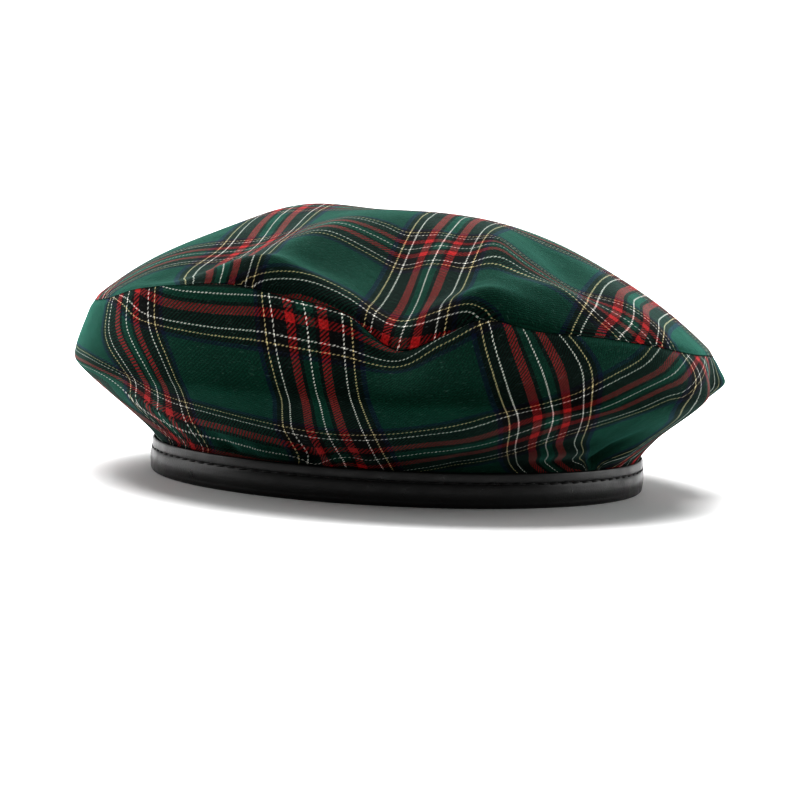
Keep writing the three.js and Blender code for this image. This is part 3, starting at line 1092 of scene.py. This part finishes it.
def band_section(crown, band):
    """The headband's section as distances inwards and heights, its outside smoothed by a curve
    through the table's rows, then the slot for the cloth and the inside."""
    thick = 2 * band.leather + crown.cloth + 2 * crown.gap
    rows = len(BAND_OUTSIDE["up"])
    walk = np.linspace(0, rows - 1, 4 * rows)
    outside = {
        name: around({"at": np.arange(rows), name: BAND_OUTSIDE[name]}, name, walk, turn=0)
        for name in ("inwards", "up")
    }
    slot_in, slot_out = band.leather, thick - band.leather
    inwards = np.concatenate(
        [
            outside["inwards"] * thick,
            [slot_in - 0.0002, slot_in, slot_in, slot_out],
            [slot_out, slot_out + 0.0003, thick, thick],
            [thick - 0.0006],
        ]
    )
    heights = np.concatenate(
        [
            outside["up"] * band.height,
            [band.height - 0.0001, band.height - 0.0005, band.fold, band.fold],
            [0.93 * band.height, 0.97 * band.height, 0.92 * band.height, 0.08 * band.height, 0.0],
        ]
    )
    return inwards, heights


class HAT_OT_headband(bpy.types.Operator):
    """Adds the leather headband."""

    bl_idname = "hat.headband"
    bl_label = "Headband"

    def execute(self, context):
        crown, band = context.scene.hat_crown, context.scene.hat_band
        around_hat = directions(BAND_STEPS)
        inwards, heights = band_section(crown, band)
        degrees, depth = np.meshgrid(around_hat, inwards)
        height = np.broadcast_to(heights[:, None], degrees.shape)
        strip = closed_solid("headband_leather", list(oval(band, degrees, depth, height)))
        look = context.scene.hat_leather
        look = shared_material("polished_black_leather", polished_leather, look)
        dress(strip, look, "black_leather", "headband")
        return {"FINISHED"}


def capsules(name, starts, ends, facing, thickness):
    """Short round threads as one mesh: rings of eight points along each, thinner at both ends."""
    along = np.array([0.0, 0.03, 0.12, 0.5, 0.88, 0.97, 1.0])
    girth = np.array([0.15, 0.6, 0.95, 1.0, 0.95, 0.6, 0.15])
    sunk = np.array([-1.0, -0.5, 0.0, 0.15, 0.0, -0.5, -1.0])
    turn = 2 * np.pi * np.arange(8) / 8
    way = unit(ends - starts)
    across = unit(np.cross(facing, way))
    middle = starts[:, None] + (ends - starts)[:, None] * along[None, :, None]
    middle = middle + facing[:, None] * (sunk * thickness)[None, :, None]
    ring = np.cos(turn)[:, None] * across[:, None, None]
    ring = ring + np.sin(turn)[:, None] * facing[:, None, None]
    points = middle[:, :, None] + ring * (girth * thickness / 2)[None, :, None, None]
    count, rows, sides = points.shape[:3]
    base = np.arange(count)[:, None, None] * rows * sides
    row, step = np.meshgrid(np.arange(rows - 1), np.arange(sides), indexing="ij")
    a, b = row * sides + step, row * sides + (step + 1) % sides
    quads = np.stack([base + a, base + b, base + b + sides, base + a + sides], -1).reshape(-1, 4)
    caps = []
    for last, order in ((0, slice(None, None, -1)), (rows - 1, slice(None))):
        caps += (base[:, 0] + last * sides + np.arange(sides))[:, order].tolist()
    mesh = bpy.data.meshes.new(name)
    place = points.reshape(-1, 3) + MIDDLE
    mesh.from_pydata(place.tolist(), [], quads.tolist() + caps)
    return add_smooth(mesh)


class HAT_OT_band_stitches(bpy.types.Operator):
    """Adds the row of stitches in the groove of the headband."""

    bl_idname = "hat.band_stitches"
    bl_label = "Band stitches"

    def execute(self, context):
        crown, band = context.scene.hat_crown, context.scene.hat_band
        degrees = np.linspace(0, 360, 7201)
        thick = 2 * band.leather + crown.cloth + 2 * crown.gap
        inwards, height = GROOVE_IN * thick, GROOVE_UP * band.height
        line = oval(band, degrees, inwards, height)
        run = np.concatenate([[0], np.cumsum(np.linalg.norm(np.diff(line, axis=0), axis=1))])
        count = int(round(run[-1] / band.stitch_step))
        first = np.arange(count) * run[-1] / count
        at = [np.interp(first + shift, run, degrees) for shift in (0, band.stitch)]
        ends = [
            oval(band, a, inwards, height + tilt * band.slant)
            for a, tilt in zip(at, (-0.5, 0.5))
        ]
        middle = (at[0] + at[1]) / 2
        facing = unit(oval(band, middle, 0.0, 0.0) - oval(band, middle, MM, 0.0))
        piece = capsules("headband_stitches", ends[0], ends[1], facing, band.thread)
        look = shared_material("waxed_polyester_thread", waxed_thread, context.scene.hat_leather)
        dress(piece, look, "black_leather")
        return {"FINISHED"}


class HAT_OT_studio(bpy.types.Operator):
    """Adds the pale floor that sweeps up behind the hat, soft lights and the camera."""

    bl_idname = "hat.studio"
    bl_label = "Studio"

    def execute(self, context):
        look = context.scene.hat_studio
        scene = context.scene
        turn = np.linspace(0, np.pi / 2, 24)
        radius, back, wide = 1.2, 3.0, 8.0
        y = np.concatenate([[-6.0], back + radius * np.sin(turn), [back + radius]])
        z = np.concatenate([[0.0], radius * (1 - np.cos(turn)), [6.0]])
        sides = np.array([-wide, wide])
        x, row = np.meshgrid(sides, np.arange(len(y)))
        points = np.stack([x, y[row], z[row]], -1).reshape(-1, 3)
        a = 2 * np.arange(len(y) - 1)
        faces = np.stack([a, a + 1, a + 3, a + 2], -1)
        mesh = bpy.data.meshes.new("studio_sweep")
        mesh.from_pydata(points.tolist(), [], faces.tolist())
        mesh.shade_smooth()
        mesh.materials.append(shared_material("matt_background_paper", studio_paper, look))
        sweep = bpy.data.objects.new("studio_sweep", mesh)
        scene.collection.objects.link(sweep)
        world = bpy.data.worlds.new("studio_light")
        world.use_nodes = True
        world.node_tree.nodes["Background"].inputs[0].default_value = (1, 1, 1, 1)
        world.node_tree.nodes["Background"].inputs[1].default_value = 0.25
        scene.world = world
        scene.view_settings.view_transform = "Standard"
        scene.view_settings.look = "High Contrast"
        hat = Vector((0, 0, 0.05))
        lamps = (
            ("high_back", (-0.2, 0.55, 1.5), hat, 1.5, 1.3, 49.0),
            ("left", (-1.15, 0.12, 0.42), hat, 0.9, 0.84, 4.4),
            ("right", (1.15, 0.12, 0.42), hat, 0.9, 0.84, 4.4),
            ("backdrop", (0.0, 2.0, 2.6), Vector((0.0, 4.2, 0.9)), 4.0, 1.0, 120.0),
        )
        for name, place, aim, width, height, power in lamps:
            data = bpy.data.lights.new(name, "AREA")
            data.shape = "RECTANGLE"
            data.size = width
            data.size_y = height
            data.energy = power
            lamp = bpy.data.objects.new(name, data)
            lamp.location = place
            lamp.rotation_euler = (aim - Vector(place)).to_track_quat("-Z", "Y").to_euler()
            scene.collection.objects.link(lamp)
        eye = Vector((0, -look.away, look.eye))
        view = Vector((0, 0, look.aim)) - eye
        lens = bpy.data.cameras.new("camera")
        lens.lens = look.focal
        lens.sensor_width = 36.0
        camera = bpy.data.objects.new("camera", lens)
        turned = view.to_track_quat("-Z", "Y").to_matrix().to_4x4()
        rolled_by = Matrix.Rotation(math.radians(look.roll), 4, "Z")
        camera.matrix_world = Matrix.Translation(eye) @ turned @ rolled_by
        scene.collection.objects.link(camera)
        scene.camera = camera
        return {"FINISHED"}


class HAT_PT_panel(bpy.types.Panel):
    """Lists the steps that build the hat."""

    bl_label = "Tam o shanter"
    bl_idname = "HAT_PT_panel"
    bl_space_type = "VIEW_3D"
    bl_region_type = "UI"
    bl_category = "Hat"

    def draw(self, context):
        for step in STEPS:
            self.layout.operator(step.bl_idname)
        for group in GROUPS:
            settings = getattr(context.scene, group)
            for name in settings.__annotations__:
                self.layout.prop(settings, name)


GROUPS = {
    "hat_crown": CrownSizes,
    "hat_band": BandSizes,
    "hat_tartan": TartanLook,
    "hat_leather": LeatherLook,
    "hat_studio": StudioLook,
}
STEPS = (
    HAT_OT_headband,
    HAT_OT_side_panel,
    HAT_OT_top_panel,
    HAT_OT_band_stitches,
    HAT_OT_studio,
)


def register():
    for name, group in GROUPS.items():
        bpy.utils.register_class(group)
        setattr(bpy.types.Scene, name, bpy.props.PointerProperty(type=group))
    for step in STEPS:
        bpy.utils.register_class(step)
    bpy.utils.register_class(HAT_PT_panel)


def unregister():
    bpy.utils.unregister_class(HAT_PT_panel)
    for step in reversed(STEPS):
        bpy.utils.unregister_class(step)
    for name, group in reversed(GROUPS.items()):
        delattr(bpy.types.Scene, name)
        bpy.utils.unregister_class(group)


def main():
    """Builds every piece and the studio."""
    register()
    for step in STEPS:
        family, name = step.bl_idname.split(".")
        getattr(getattr(bpy.ops, family), name)()


if __name__ == "__main__":
    main()
